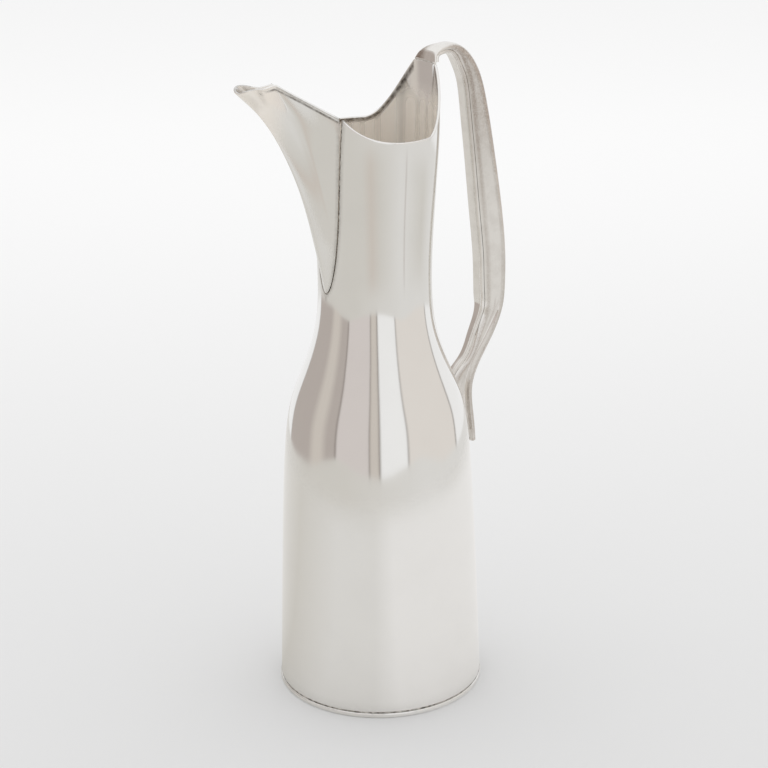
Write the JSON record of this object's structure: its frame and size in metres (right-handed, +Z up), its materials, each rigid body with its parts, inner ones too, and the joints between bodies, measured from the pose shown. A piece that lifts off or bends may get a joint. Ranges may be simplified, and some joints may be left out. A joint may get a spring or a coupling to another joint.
{
  "type": "silver pitcher",
  "caption": "Tall bottle-shaped silver pitcher with a flat base plate, an inset V-shaped pouring spout with a pinched beak and a flared lip, a rim that rises to the handle and a hollow soldered handle.",
  "frame": {"origin": "centre of the flat underside of the base plate", "axes": "+Z up along the body's axis, -X to the spout's tip, +X to the handle, Y across the symmetry plane"},
  "size_m": [0.142, 0.1, 0.3125],
  "materials": {
    "polished_silver": "hand-polished sterling silver with fine wear",
    "handle_silver": "polished sterling silver with a brownish tarnish",
    "silver_solder": "dull silver solder with pits"
  },
  "bodies": {
    "root": {"base_plate": "polished_silver", "base_solder_seam": "silver_solder", "body_shell": "polished_silver", "spout": "polished_silver", "spout_solder_seam": "silver_solder", "handle_root_solder": "silver_solder", "handle_channel": "handle_silver", "handle_inner_plate": "handle_silver", "handle_tail_cap": "handle_silver", "handle_foot_solder": "silver_solder"}
  },
  "joints": []
}
